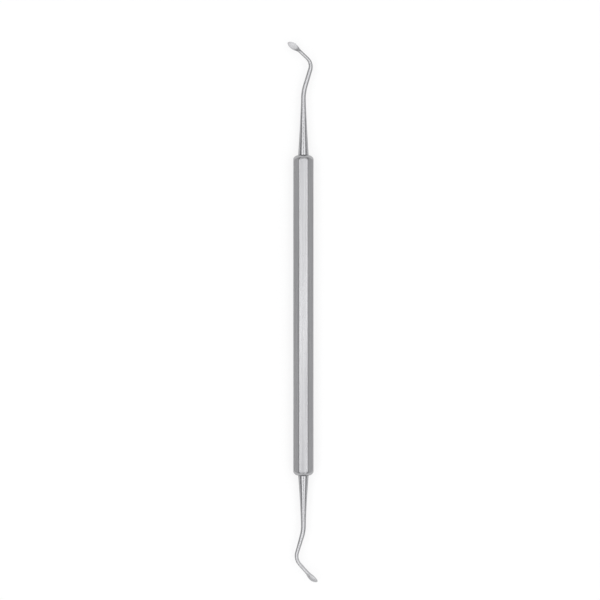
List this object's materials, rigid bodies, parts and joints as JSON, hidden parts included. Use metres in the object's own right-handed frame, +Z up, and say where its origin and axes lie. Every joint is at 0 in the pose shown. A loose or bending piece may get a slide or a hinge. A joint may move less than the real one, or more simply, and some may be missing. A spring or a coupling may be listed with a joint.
{
  "type": "dental excavator",
  "caption": "Dental spoon excavator: an octagonal steel handle with a tapered, bent shank and a leaf-shaped cutting spoon at each end.",
  "frame": {"origin": "the middle of the handle's lower flat, halfway along the handle", "axes": "+Y along the handle towards the upper working end, +X to the right seen from above, +Z up from the flat that the instrument lies on"},
  "size_m": [0.0089, 0.1604, 0.006],
  "materials": {
    "handle_steel": "satin stainless steel, brushed along the bar",
    "working_end_steel": "ground and satin-polished hardened stainless steel"
  },
  "bodies": {
    "root": {"handle": "handle_steel", "upper_working_end": "working_end_steel", "lower_working_end": "working_end_steel"}
  },
  "joints": []
}
